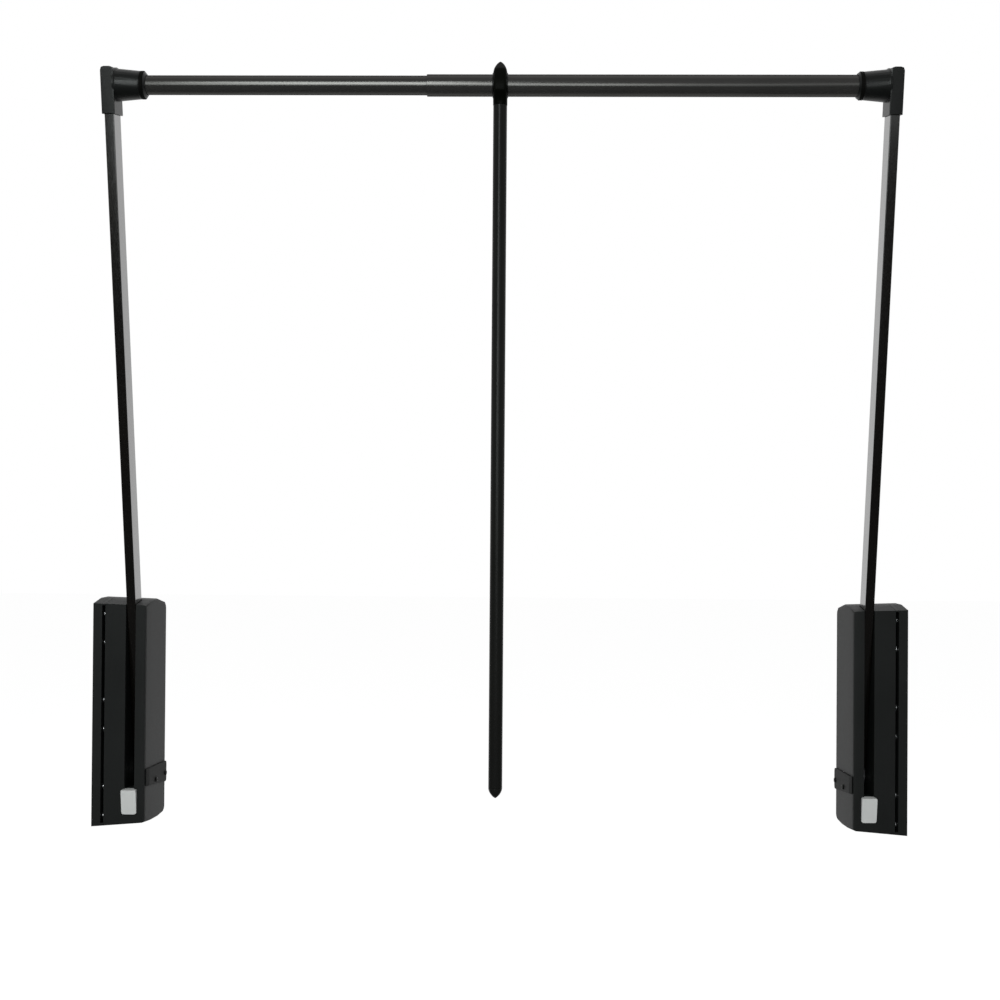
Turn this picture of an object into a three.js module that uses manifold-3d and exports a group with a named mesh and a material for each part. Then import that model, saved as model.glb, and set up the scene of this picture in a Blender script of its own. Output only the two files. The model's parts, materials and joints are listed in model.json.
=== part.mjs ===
// Pull down closet rod: two wall housings with sprung arms carry a telescopic hanging rod with a pull handle.
// Lengths are millimetres. X runs to the right, Y away from the viewer and Z up.
// The origin is on the right wall face, on the swing axis. A side is described by its depth from the wall.
import * as THREE from "three";
import { mergeVertices } from "three/addons/utils/BufferGeometryUtils.js";
import Module from "manifold-3d";

const wasm = await Module();
wasm.setup();

// Driving dimensions of the whole lift
const wallToWall = 896;
const armLength = 750;
const armLean = THREE.MathUtils.degToRad(11);
const armSwing = Math.PI / 2 - armLean;
const cut = 1;
const fitGap = 0.3;
const weldDistance = 0.0003;

// Wall screws, on the 32 mm pitch of cabinet sides
const screwPitch = 32;
const screwHoles = [0, 1, 3, 4, 6, 7];
const screwTop = 177.7;
const screwRow = Math.max(...screwHoles) * screwPitch;
const screwMarginTop = 12;
const screwMarginBottom = 10.2;
const screwSetback = 10.5;
const screwShank = 2.5;
const screwHead = 4.4;
const screwHeadHeight = 2.2;
const screwHeadEdge = 1;
const screwTipLength = 3;

// Housing outline round the swing axis, and its layers counted from the wall
const housingFront = 50;
const housingBack = 39;
const housingTop = screwTop + screwMarginTop;
const housingBottom = screwRow - screwTop + screwMarginBottom;
const housingDepth = 59;
const topCrown = 5;
const heelDrop = 5.7;
const heelBelly = 2;
const topBackRadius = 9;
const bottomBackRadius = 8;
const upperTaperShare = 0.01;
const lowerTaperShare = 0.085;
const edgeRound = 3;
const shellWall = 2.4;
const trayDepth = 9.8;
const grooveWidth = 3.6;
const shellStart = trayDepth + grooveWidth;

// Tray that is screwed to the wall
const trayFloor = 3;
const trayRim = 2;
const trayRib = 1.6;
const spigotDepth = 6;
const spigotWall = 1.8;
const spigotFront = 33;
const spigotEnd = trayDepth + spigotDepth;
const grooveEndTop = 2;
const grooveEndBottom = 4;
const towerRadius = 5.5;
const pivotBossRadius = 15;

// Arm channel inside the shell
const slotInset = 17.2;
const slotCentre = housingDepth - slotInset;
const slotWidth = 11;
const channelWall = 2.2;
const slotBack = 22;
const slotFloor = 15.5;
const channelBack = 4;
const channelStep = 32;
const bossRadius = 10;
const stiffenerPitch = 40;
const stiffenerCount = 3;
const stiffener = 1.6;

// Swing axle, its bush and the plate that holds its end
const axleRadius = 5;
const axleSeat = 4;
const axleChamfer = 0.8;
const bushWall = 2;
const plateThickness = 1.9;
const plateRound = 0.8;
const plateMargin = 2.5;
const plateFrontTop = 7;
const plateFrontBottom = 12;
const plateBackTop = 2.5;
const plateBackBottom = 21.5;
const plateCorner = 4;
const plateRamp = 10;
const plateLip = 0.6;
const plateScrews = [-11, 30];
const plateScrewDrop = 11;
const smallScrewHead = 3;
const smallScrewHeight = 1.2;
const smallScrewShank = 1.5;
const smallScrewLength = 9;
const smallBoss = 3.5;
const plateScrewBore = smallScrewShank + fitGap;

// Arm bar and the hub at its lower end
const armWidth = 10;
const armDeep = 25;
const armWall = 1.5;
const armCorner = 0.8;
const armStart = 15;
const hubThickness = 9;
const eyeRadius = 12;
const tongueLength = 48;
const tongueStart = 6;
const earThickness = 4;
const earRadius = 5.5;
const crankRadius = 24;
const crankPin = 3;

// Spring, its rod and its upper seat
const rodRadius = 4;
const cheekWall = 2.2;
const forkRim = 2.6;
const forkPlay = 0.5;
const forkNeck = 5;
const collarPlace = 35;
const collarHeight = 3;
const collarRadius = 11;
const springRadius = 10.2;
const springWire = 3.4;
const springCurls = 13;
const springEndGap = 0.6;
const seatDrop = 44.7;
const seatPlace = housingTop - seatDrop;
const seatHeight = 3;
const webHeight = 3;
const rodBeyondWeb = 2;
const webReach = 20;

// Stops: the grey buffer below the slot and the pad behind the raised arm
const bufferWide = 16.5;
const bufferTall = 28;
const bufferTop = 14.7;
const bufferProud = 5;
const bufferFoot = 0.6;
const bufferSeat = 5;
const bufferCorner = 2.5;
const bufferTip = THREE.MathUtils.degToRad(5);
const bufferStem = 8;
const bufferStemTall = 18;
const bufferStemLong = 12;
const bufferBlock = 24;
const padThick = 3;
const padTall = 16;
const padDrop = 23.7;
const padPlace = housingTop - padDrop;
const padWeb = 2.4;

// Elbow that joins arm and tube
const socketOuter = 1.9;
const socketInner = 1.8;
const socketSide = 3;
const socketAbove = 17.8;
const socketBelow = 30;
const socketRound = 4;
const armInSocket = 12;
const barrelRoot = 16.7;
const barrelEnd = 14.4;
const barrelLip = 0.9;
const barrelShoulder = 17.8;
const barrelShoulderLength = 4.5;
const barrelLength = 31.2;
const barrelRing = 3.4;
const barrelRingPlace = 5.4;
const barrelRingDepth = 0.25;
const barrelChamfer = 2.6;
const tubeInBarrel = 26;
const elbowScrewDrop = 23;
const elbowScrewPlace = armLength - elbowScrewDrop;
const elbowScrewLength = 5;

// Telescopic tube
const thickTube = 11.25;
const thinTube = 9.95;
const tubeWall = 1;
const tubeStep = 76;
const tubeOverlap = 314;

// Pull handle
const handlePlace = 0;
const headHalf = 7.4;
const headTop = 25;
const headRing = 16.5;
const headNeck = 7.7;
const headBottom = 20.5;
const headShoulder = 9;
const headRound = 1.4;
const linerWall = 1;
const linerLip = 0.4;
const linerLipRise = 0.8;
const handleTube = 7.2;
const handleDrop = 738;
const handleSpigot = handleTube - tubeWall - fitGap;
const tipLength = 10.5;
const tipTaper = 1.8;
const tipRound = 0.8;
const spigotLength = 14;

// Fineness of round forms
const fineSides = 28;
const roundSides = 20;
const smallSides = 10;
const curveSteps = 3;
const cornerSteps = 2;
const tipSteps = 7;
const wireSides = 5;
const curlSteps = 8;

// Colours and finishes
const blackPlastic = finish(0x1b1c1d, 0.62, 0);
const blackMetal = finish(0x141414, 0.3, 0.6);
const darkTube = finish(0x2e3236, 0.28, 0.7);
const paleBuffer = finish(0xb4b6b8, 0.55, 0);
const brightSteel = finish(0xc8c9cb, 0.25, 1);
const bareSteel = finish(0x8d9094, 0.4, 1);
const nylon = finish(0x2a2a2a, 0.5, 0);
const rubber = finish(0x101010, 0.85, 0);

function finish(color, roughness, metalness) {
  return new THREE.MeshStandardMaterial({ color, roughness, metalness });
}

// A closed geometry as a solid that can be joined and cut.
function toSolid(geometry) {
  const plain = geometry.clone();
  plain.deleteAttribute("normal");
  plain.deleteAttribute("uv");
  const merged = mergeVertices(plain, weldDistance);
  return new wasm.Manifold(
    new wasm.Mesh({
      numProp: 3,
      vertProperties: merged.attributes.position.array,
      triVerts: new Uint32Array(merged.index.array),
    }),
  );
}

function toGeometry(solid) {
  const mesh = solid.getMesh();
  const stride = mesh.numProp;
  const places = new Float32Array((mesh.vertProperties.length / stride) * 3);
  for (let i = 0; i * stride < mesh.vertProperties.length; i++) {
    places.set(mesh.vertProperties.subarray(i * stride, i * stride + 3), i * 3);
  }
  const geometry = new THREE.BufferGeometry();
  geometry.setAttribute("position", new THREE.BufferAttribute(places, 3));
  geometry.setIndex(new THREE.BufferAttribute(mesh.triVerts, 1));
  const faceted = geometry.toNonIndexed();
  faceted.computeVertexNormals();
  return faceted;
}

function meshOf(name, shape, material) {
  const geometry = shape.isBufferGeometry ? shape : toGeometry(shape);
  const mesh = new THREE.Mesh(geometry, material);
  mesh.name = name;
  return mesh;
}

// An outline in the Y-Z plane made solid between two depths from the wall.
function slabGeometry(outline, nearWall, farSide, round = 0, steps = curveSteps) {
  const geometry = new THREE.ExtrudeGeometry(outline, {
    depth: farSide - nearWall - 2 * round,
    bevelEnabled: round > 0,
    bevelThickness: round,
    bevelSize: round,
    bevelOffset: -round,
    bevelSegments: cornerSteps,
    curveSegments: steps,
  });
  const yAxis = new THREE.Vector3(0, 1, 0);
  const zAxis = new THREE.Vector3(0, 0, 1);
  const xAxis = new THREE.Vector3(1, 0, 0);
  geometry.applyMatrix4(new THREE.Matrix4().makeBasis(yAxis, zAxis, xAxis));
  geometry.translate(round - farSide, 0, 0);
  return geometry;
}

function slab(outline, nearWall, farSide, round = 0, steps = curveSteps) {
  return toSolid(slabGeometry(outline, nearWall, farSide, round, steps));
}

// A box between two depths, two Y places and two Z places.
function block(nearWall, farSide, yLow, yHigh, zLow, zHigh) {
  const geometry = new THREE.BoxGeometry(farSide - nearWall, yHigh - yLow, zHigh - zLow);
  geometry.translate(-(nearWall + farSide) / 2, (yLow + yHigh) / 2, (zLow + zHigh) / 2);
  return toSolid(geometry);
}

function profile(points) {
  return points.map(([radius, along]) => new THREE.Vector2(radius, along));
}

// A profile of radius and place turned round the X axis.
function turnedX(points, sides) {
  return new THREE.LatheGeometry(profile(points), sides).rotateZ(-Math.PI / 2);
}

// A profile of radius and place turned round the Z axis.
function turnedZ(points, sides) {
  return new THREE.LatheGeometry(profile(points), sides).rotateX(Math.PI / 2);
}

// A round pin between two depths, standing at a place in the Y-Z plane.
function pinGeometry(radius, nearWall, farSide, y, z, sides, chamfer = 0) {
  const points = [
    [0, -farSide],
    [radius - chamfer, -farSide],
    [radius, chamfer - farSide],
    [radius, -nearWall - chamfer],
    [radius - chamfer, -nearWall],
    [0, -nearWall],
  ];
  const kept = chamfer > 0 ? points : [points[0], points[1], points[4], points[5]];
  return turnedX(kept, sides).translate(0, y, z);
}

function pin(radius, nearWall, farSide, y, z, sides, chamfer = 0) {
  return toSolid(pinGeometry(radius, nearWall, farSide, y, z, sides, chamfer));
}

// Profile of an open ring or tube.
function ring(inner, outer, low, high) {
  return [
    [inner, low],
    [outer, low],
    [outer, high],
    [inner, high],
    [inner, low],
  ];
}

// Profile of a full cylinder.
function disc(radius, low, high) {
  return [
    [0, low],
    [radius, low],
    [radius, high],
    [0, high],
  ];
}

function union(solids) {
  return solids.reduce((whole, next) => whole.add(next));
}

// Housing outline drawn in by an inset.
function housingOutline(inset) {
  const front = housingFront - inset;
  const back = housingBack - inset;
  const top = housingTop - inset;
  const bottom = inset - housingBottom;
  const upper = Math.max(topBackRadius - inset, fitGap);
  const lower = Math.max(bottomBackRadius - inset, fitGap);
  const heel = bottom - heelDrop;
  const outline = new THREE.Shape();
  outline.moveTo(-front, bottom);
  outline.quadraticCurveTo(0, heel - heelBelly, back - lower, heel);
  outline.absarc(back - lower, heel + lower, lower, -Math.PI / 2, 0, false);
  outline.absarc(back - upper, top - upper, upper, 0, Math.PI / 2, false);
  outline.quadraticCurveTo((back - front) / 2, top + 2 * topCrown, -front, top);
  outline.closePath();
  return outline;
}

// Rectangle with square or rounded corners.
function rectangle(left, right, low, high, corner = 0) {
  const outline = new THREE.Shape();
  if (corner === 0) {
    outline.moveTo(left, low);
    outline.lineTo(right, low);
    outline.lineTo(right, high);
    outline.lineTo(left, high);
    outline.closePath();
    return outline;
  }
  outline.absarc(right - corner, low + corner, corner, -Math.PI / 2, 0, false);
  outline.absarc(right - corner, high - corner, corner, 0, Math.PI / 2, false);
  outline.absarc(left + corner, high - corner, corner, Math.PI / 2, Math.PI, false);
  outline.absarc(left + corner, low + corner, corner, Math.PI, 1.5 * Math.PI, false);
  outline.closePath();
  return outline;
}

// A housing draws in towards the room, a little above the axle and more below it.
function taper(geometry) {
  const places = geometry.attributes.position;
  for (let i = 0; i < places.count; i++) {
    const depthShare = -places.getX(i) / housingDepth;
    const taperShare = places.getZ(i) < 0 ? lowerTaperShare : upperTaperShare;
    places.setZ(i, places.getZ(i) * (1 - taperShare * depthShare));
  }
  return geometry;
}

function housingSlab(inset, nearWall, farSide) {
  return toSolid(taper(slabGeometry(housingOutline(inset), nearWall, farSide)));
}

const screwLine = screwSetback - housingFront;
const screwHeights = screwHoles.map((hole) => screwTop - hole * screwPitch);

// Housing outline drawn in by an inset and cut off at a front of its own.
function shortSlab(inset, front, nearWall, farSide) {
  const room = block(nearWall, farSide, -front, housingBack, -2 * housingBottom, 2 * housingTop);
  return housingSlab(inset, nearWall, farSide).intersect(room);
}

// Frame that stands on the tray and locates the shell.
function traySpigot() {
  const outside = shellWall + fitGap;
  const inside = outside + spigotWall;
  return shortSlab(outside, spigotFront, trayDepth - fitGap, spigotEnd).subtract(
    shortSlab(inside, spigotFront - spigotWall, trayDepth - cut, spigotEnd + cut),
  );
}

// Rim that closes the groove all round, but for the front where the screws are reached.
function trayRimFrame() {
  const end = shellStart - fitGap;
  const low = grooveEndBottom - housingBottom;
  const high = housingTop - grooveEndTop;
  const mouth = block(trayDepth, end + cut, -housingFront - cut, -spigotFront, low, high);
  return housingSlab(0, trayDepth - fitGap, end)
    .subtract(housingSlab(trayRim, trayDepth - cut, end + cut))
    .subtract(mouth);
}

// Tray: a shallow moulding with its hollow side on the wall, towers for the screws and a rim for the shell.
function wallTray() {
  const under = trayDepth - trayFloor;
  const plate = housingSlab(0, 0, trayDepth);
  const hollow = housingSlab(shellWall, -cut, under);
  const towers = screwHeights.map((z) => pin(towerRadius, 0, trayDepth, screwLine, z, smallSides));
  const boss = pin(pivotBossRadius, 0, trayDepth, 0, 0, roundSides);
  const halfRib = trayRib / 2;
  const spine = block(0, under, -halfRib, halfRib, -housingBottom - heelDrop, housingTop + topCrown);
  const bars = screwHeights.map((z) => block(0, under, screwLine, housingBack, z - halfRib, z + halfRib));
  const ribs = union([spine, ...bars]).intersect(housingSlab(shellWall / 2, 0, trayDepth));
  const bore = screwShank + fitGap;
  const bores = screwHeights.map((z) => pin(bore, -cut, trayDepth + cut, screwLine, z, smallSides));
  const seat = pin(axleRadius + fitGap, axleSeat, trayDepth + cut, 0, 0, roundSides);
  return union([plate.subtract(hollow), ...towers, boss, ribs, traySpigot(), trayRimFrame()])
    .subtract(union([...bores, seat]));
}

// Outline of the walls beside the arm: they reach the back round the axle, and end in front of the spring.
function channelOutline() {
  const outline = new THREE.Shape();
  outline.moveTo(-housingFront, -housingBottom - heelDrop);
  outline.lineTo(housingBack, -housingBottom - heelDrop);
  outline.lineTo(housingBack, channelStep - channelWall);
  outline.quadraticCurveTo(-channelBack, channelStep - channelWall, -channelBack, channelStep + bossRadius);
  outline.lineTo(-channelBack, housingTop + topCrown);
  outline.lineTo(-housingFront, housingTop + topCrown);
  outline.closePath();
  return outline;
}

const crankStart = -armSwing / 2;
const crankTravel = 2 * crankRadius * Math.sin(armSwing / 2);
const crankNear = crankRadius * Math.cos(armSwing / 2);
const rodLine = (crankNear + crankRadius) / 2;
const slotNear = slotCentre - slotWidth / 2;
const slotFar = slotCentre + slotWidth / 2;
const bufferBottom = bufferTop + bufferTall;

const bufferBack = bufferBlock - housingFront;
const innerWall = housingDepth - shellWall;
const bridgeLow = seatPlace + seatHeight + fitGap;

// Walls, ribs and bosses that stand inside the shell.
function shellInside() {
  const channel = channelOutline();
  const near = slotNear - cut;
  const far = slotFar + cut;
  const webNear = slotCentre - webReach;
  const bossEnd = innerWall + shellWall / 2;
  const inside = [
    slab(channel, slotNear - channelWall, slotNear),
    slab(channel, slotFar, slotFar + channelWall),
    block(near, far, -housingFront, bufferBack, -housingBottom - heelDrop, -slotFloor),
    block(near, far, -housingFront, housingBack, -housingBottom - heelDrop, -bufferBottom),
    pin(bossRadius, shellStart, bossEnd, 0, 0, roundSides),
    block(webNear, bossEnd, channelBack, housingBack, bridgeLow, bridgeLow + webHeight),
    block(webNear, webNear + stiffener, channelBack, housingBack, bridgeLow, housingTop + topCrown),
  ];
  for (let i = 0; i < stiffenerCount; i++) {
    const z = channelStep + (i + 0.5) * stiffenerPitch;
    inside.push(block(spigotEnd + fitGap, slotNear, -housingFront, -channelBack, z, z + stiffener));
  }
  for (const y of plateScrews) {
    inside.push(pin(smallBoss, housingDepth - smallScrewLength, bossEnd, y, -plateScrewDrop, smallSides));
  }
  return union(inside);
}

// Room for the arm in front and above, and for the hub below.
function armRoom() {
  const slotTop = housingTop + 2 * topCrown;
  const slot = slab(rectangle(-housingFront - cut, -slotBack, -slotFloor, slotTop), slotNear, slotFar);
  const front = shellWall + cut - housingFront;
  const back = housingBack - shellWall;
  const hubOutline = rectangle(front, back, cut - bufferBottom, channelStep + bossRadius);
  const bed = block(slotNear, slotFar, -housingFront, bufferBack, -housingBottom, -slotFloor);
  return slab(hubOutline, slotNear, slotFar).subtract(bed).add(slot);
}

// Recess and stem hole that take the buffer.
function bufferRoom() {
  const halfFace = bufferWide / 2 + fitGap;
  const low = -bufferBottom - fitGap;
  const high = fitGap - bufferTop;
  const face = block(slotCentre - halfFace, slotCentre + halfFace, -housingFront - cut,
    bufferSeat - housingFront, low, high);
  const middle = -(bufferTop + bufferBottom) / 2;
  const halfTall = bufferStemTall / 2 + fitGap;
  const halfWide = bufferStem / 2 + fitGap;
  const stemBack = bufferSeat + bufferStemLong + fitGap - housingFront;
  const stem = block(slotCentre - halfWide, slotCentre + halfWide, -housingFront, stemBack,
    middle - halfTall, middle + halfTall);
  return face.add(stem);
}

// Shell: a moulded bucket, open to the wall, with the arm channel, the axle bosses and the spring bridge.
function housingShell() {
  const start = shellStart - 2 * edgeRound;
  const bevelled = taper(slabGeometry(housingOutline(0), start, housingDepth, edgeRound));
  const outside = toSolid(bevelled).intersect(housingSlab(-cut, shellStart, housingDepth + cut));
  const pocket = housingSlab(shellWall, shellStart - cut, innerWall);
  const filling = housingSlab(shellWall / 2, shellStart, innerWall + shellWall / 2);
  const axleBore = pin(axleRadius + fitGap, shellStart - cut, housingDepth + cut, 0, 0, roundSides);
  const rodRoom = rodRadius + fitGap;
  const boreLow = bridgeLow - cut;
  const boreHigh = bridgeLow + webHeight + cut;
  const rodBore = turnedZ(disc(rodRoom, boreLow, boreHigh), roundSides).translate(-slotCentre, rodLine, 0);
  const boreStart = housingDepth - smallScrewLength - cut;
  const screwBores = plateScrews.map((y) =>
    pin(plateScrewBore, boreStart, housingDepth + cut, y, -plateScrewDrop, smallSides),
  );
  return outside
    .subtract(pocket)
    .add(shellInside().intersect(filling))
    .subtract(armRoom())
    .add(padHolder().intersect(filling))
    .subtract(union([axleBore, toSolid(rodBore), bufferRoom(), ...screwBores]));
}

// Web across the arm channel behind the rest pad, with a shelf below it, leaning as the raised arm does.
function padHolder() {
  const front = armDeep / 2 + 2 * fitGap + padThick;
  const web = rectangle(front, front + padWeb, padPlace - padWeb, housingTop + 2 * topCrown);
  const shelfTop = padPlace - fitGap;
  const shelf = rectangle(front - padThick, front + padWeb, shelfTop - padWeb, shelfTop);
  const near = slotNear - channelWall;
  const far = slotFar + channelWall;
  const holder = slabGeometry(web, near, far).rotateX(armLean);
  return toSolid(holder).add(toSolid(slabGeometry(shelf, near, far).rotateX(armLean)));
}

// Pan-head screw whose head sits on the tray; its point ends at the wall face.
function wallScrew(z) {
  const under = trayDepth + fitGap;
  const headEnd = under + screwHeadHeight;
  const points = [
    [0, -headEnd],
    [screwHead - screwHeadEdge, -headEnd],
    [screwHead, screwHeadEdge - headEnd],
    [screwHead, -under],
    [screwShank, -under],
    [screwShank, -screwTipLength],
    [0, 0],
  ];
  return turnedX(points, smallSides).translate(0, screwLine, z);
}

function smallScrew(headBase, length, y, z) {
  const headEnd = headBase + smallScrewHeight;
  const points = [
    [0, -headEnd],
    [smallScrewHead / 2, -headEnd],
    [smallScrewHead, -headBase],
    [smallScrewShank, -headBase],
    [smallScrewShank, length - headBase],
    [0, length - headBase],
  ];
  return turnedX(points, smallSides).translate(0, y, z);
}

// What is cut off the plate's front end, so that it runs out on the shell.
function plateRunOut(base, front) {
  const outline = new THREE.Shape();
  outline.moveTo(-base - plateThickness - cut, front - cut);
  outline.lineTo(-base - plateThickness - cut, front + plateRamp);
  outline.lineTo(-base - plateThickness, front + plateRamp);
  outline.lineTo(-base - plateLip, front);
  outline.lineTo(-base - plateLip, front - cut);
  outline.closePath();
  const geometry = new THREE.ExtrudeGeometry(outline, { depth: 2 * housingBottom, bevelEnabled: false });
  return toSolid(geometry.translate(0, 0, -housingBottom));
}

// Plate that covers the axle end: thin in front, lower at the back.
function axlePlate() {
  const front = plateMargin - housingFront;
  const back = housingBack - plateMargin;
  const outline = new THREE.Shape();
  outline.moveTo(front, -plateFrontBottom);
  outline.lineTo(back - plateCorner, -plateBackBottom);
  outline.quadraticCurveTo(back, -plateBackBottom, back, plateCorner - plateBackBottom);
  outline.lineTo(back, plateBackTop - plateCorner);
  outline.quadraticCurveTo(back, plateBackTop, back - plateCorner, plateBackTop);
  outline.lineTo(front, plateFrontTop);
  outline.closePath();
  const base = housingDepth + fitGap;
  const plate = slab(outline, base - plateRound, base + plateThickness, plateRound);
  const trim = block(base - 2 * plateRound, base, -housingFront, housingBack, -housingBottom, housingBottom);
  const bores = plateScrews.map((y) =>
    pin(plateScrewBore, base - cut, base + plateThickness + cut, y, -plateScrewDrop, smallSides),
  );
  return plate.subtract(union([trim, plateRunOut(base, front), ...bores]));
}

// Buffer: a soft block in front of the slot's foot, with a stem that presses into the shell.
function armBuffer() {
  const faceBack = bufferSeat - fitGap - housingFront;
  const faceFront = -housingFront - bufferProud;
  const half = bufferWide / 2;
  const front = rectangle(-half, half, -bufferBottom, -bufferTop, bufferCorner);
  const geometry = new THREE.ExtrudeGeometry(front, {
    depth: faceBack - faceFront,
    bevelEnabled: false,
    curveSegments: cornerSteps,
  });
  geometry.rotateX(Math.PI / 2);
  geometry.translate(-slotCentre, faceBack, 0);
  const side = new THREE.Shape();
  side.moveTo(faceBack, -bufferBottom);
  side.lineTo(-housingFront - bufferFoot, -bufferBottom);
  side.lineTo(faceFront, -bufferTop - (faceBack - faceFront) * Math.tan(bufferTip));
  side.lineTo(faceBack, -bufferTop);
  side.closePath();
  const wedge = slab(side, slotCentre - half, slotCentre + half);
  const middle = -(bufferTop + bufferBottom) / 2;
  const stem = block(slotCentre - bufferStem / 2, slotCentre + bufferStem / 2, faceBack - fitGap,
    faceBack + bufferStemLong, middle - bufferStemTall / 2, middle + bufferStemTall / 2);
  return toSolid(geometry).intersect(wedge).add(stem);
}

// Pad behind the raised arm, in the leaning frame of the arm at rest.
function restPad() {
  const front = armDeep / 2 + fitGap;
  const outline = rectangle(front, front + padThick, padPlace, padPlace + padTall, padThick / 3);
  return slabGeometry(outline, slotNear + fitGap, slotFar - fitGap, 0, 1);
}

// Arm bar: a rectangular tube along Z, in the frame of the swinging arm.
function armBar() {
  const low = armStart;
  const high = armLength + armInSocket;
  const halfWide = armWidth / 2;
  const halfDeep = armDeep / 2;
  const across = rectangle(-halfWide, halfWide, -halfDeep, halfDeep, armCorner);
  const innerWide = halfWide - armWall;
  const innerDeep = halfDeep - armWall;
  across.holes.push(rectangle(-innerWide, innerWide, -innerDeep, innerDeep));
  const geometry = new THREE.ExtrudeGeometry(across, {
    depth: high - low,
    bevelEnabled: false,
    curveSegments: cornerSteps,
  });
  const screwBore = pin(plateScrewBore, slotCentre - armWidth, slotCentre, 0, elbowScrewPlace, smallSides);
  return toSolid(geometry.translate(-slotCentre, 0, low)).subtract(screwBore);
}

const crankAngle = crankStart - armLean;
const crankY = crankRadius * Math.cos(crankAngle);
const crankZ = crankRadius * Math.sin(crankAngle);
const hubBore = axleRadius + fitGap + bushWall;

// Hub: an eye round the bush, a tongue up into the arm bar and an ear that carries the crank pin.
function armHub() {
  const near = slotCentre - hubThickness / 2;
  const far = slotCentre + hubThickness / 2;
  const tongueHalf = armDeep / 2 - armWall - fitGap;
  const tongueThick = armWidth / 2 - armWall - fitGap;
  const eye = pin(eyeRadius, near, far, 0, 0, roundSides);
  const root = block(near, far, -tongueHalf, tongueHalf, 0, armStart - fitGap).intersect(
    pin(armStart - fitGap, near, far, 0, 0, roundSides),
  );
  const tongueNear = slotCentre - tongueThick;
  const tongueFar = slotCentre + tongueThick;
  const tongueTop = armStart + tongueLength;
  const tongue = block(tongueNear, tongueFar, -tongueHalf, tongueHalf, tongueStart, tongueTop);
  const side = new THREE.Vector2(-Math.sin(crankAngle), Math.cos(crankAngle)).multiplyScalar(earRadius);
  const outline = new THREE.Shape();
  outline.moveTo(-side.x, -side.y);
  outline.lineTo(crankY - side.x, crankZ - side.y);
  outline.absarc(crankY, crankZ, earRadius, crankAngle - Math.PI / 2, crankAngle + Math.PI / 2, false);
  outline.lineTo(side.x, side.y);
  outline.closePath();
  const ear = slab(outline, slotCentre - earThickness / 2, slotCentre + earThickness / 2);
  const bore = pin(hubBore + fitGap, near - cut, far + cut, 0, 0, roundSides);
  const pinBore = pin(crankPin + fitGap, near - cut, far + cut, crankY, crankZ, smallSides);
  return union([eye, root, tongue, ear]).subtract(bore).subtract(pinBore);
}

function hubBush() {
  const near = slotCentre - hubThickness / 2;
  const far = slotCentre + hubThickness / 2;
  const inner = axleRadius + fitGap;
  return turnedX(ring(inner, hubBore, -far, -near), roundSides);
}

const forkHalf = earThickness / 2 + fitGap;
const forkReach = (crankRadius - crankNear) / 2 + crankPin + forkPlay;
const forkFront = rodLine - forkReach - forkRim;
const earRise = (crankNear - forkFront) * Math.tan(armSwing / 2);
const earClearance = earRise + earRadius / Math.cos(armSwing / 2) + fitGap;

// Rod that the crank pin lifts: a fork with a level slot, a round stem, and a collar under the spring.
function springRod() {
  const pinZ = crankRadius * Math.sin(crankStart);
  const cheekHalf = crankPin + forkPlay + forkRim;
  const neckTop = pinZ + earClearance + forkNeck;
  const cheek = rectangle(forkFront, rodLine + forkReach + forkRim, pinZ - cheekHalf, neckTop, forkRim);
  const far = slotCentre + forkHalf + cheekWall;
  const near = slotCentre - forkHalf - cheekWall;
  const slot = rectangle(rodLine - forkReach, rodLine + forkReach, pinZ - crankPin - forkPlay,
    pinZ + crankPin + forkPlay, crankPin);
  const between = block(slotCentre - forkHalf, slotCentre + forkHalf, rodLine - 2 * forkReach,
    rodLine + 2 * forkReach, pinZ - 2 * cheekHalf, pinZ + earClearance);
  const collarLow = collarPlace;
  const collarHigh = collarPlace + collarHeight;
  const rodTop = bridgeLow + webHeight + rodBeyondWeb;
  const points = [
    [0, neckTop - forkRim],
    [rodRadius, neckTop - forkRim],
    [rodRadius, collarLow],
    [collarRadius, collarLow],
    [collarRadius, collarHigh],
    [rodRadius, collarHigh],
    [rodRadius, rodTop - axleChamfer],
    [rodRadius - axleChamfer, rodTop],
    [0, rodTop],
  ];
  const stem = turnedZ(points, roundSides).translate(-slotCentre, rodLine, 0);
  return slab(cheek, near, far, 0, cornerSteps)
    .subtract(slab(slot, near - cut, far + cut, 0, cornerSteps))
    .subtract(between)
    .add(toSolid(stem));
}

const springLow = collarPlace + collarHeight + fitGap;
const springHigh = seatPlace - fitGap;

// Centre line of the compression spring, with one closed curl at each end.
class SpringLine extends THREE.Curve {
  constructor() {
    super();
    this.arcLengthDivisions = springCurls * curlSteps * curlSteps;
  }

  getPoint(t, target = new THREE.Vector3()) {
    const turn = t * springCurls;
    const endPitch = springWire + springEndGap;
    const low = springLow + springWire / 2;
    const high = springHigh - springWire / 2;
    const openPitch = (high - low - 2 * endPitch) / (springCurls - 2);
    const closedTurns = Math.min(turn, 1) + Math.max(turn - springCurls + 1, 0);
    const z = low + closedTurns * endPitch + (turn - closedTurns) * openPitch;
    const angle = 2 * Math.PI * turn;
    const x = springRadius * Math.cos(angle) - slotCentre;
    return target.set(x, springRadius * Math.sin(angle) + rodLine, z);
  }
}

function coilSpring() {
  const section = [];
  for (let i = 0; i < wireSides; i++) {
    const angle = (2 * Math.PI * i) / wireSides;
    section.push(new THREE.Vector2(Math.cos(angle), Math.sin(angle)).multiplyScalar(springWire / 2));
  }
  return new THREE.ExtrudeGeometry(new THREE.Shape(section), {
    steps: springCurls * curlSteps,
    bevelEnabled: false,
    extrudePath: new SpringLine(),
  });
}

// Least gap between neighbouring curls, measured between points a turn apart.
function leastSpringGap() {
  const points = new SpringLine().getPoints(springCurls * curlSteps * curlSteps);
  const turn = curlSteps * curlSteps;
  let least = Infinity;
  for (let i = 0; i + turn < points.length; i++) {
    least = Math.min(least, points[i].distanceTo(points[i + turn]) - springWire);
  }
  return least;
}

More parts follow.
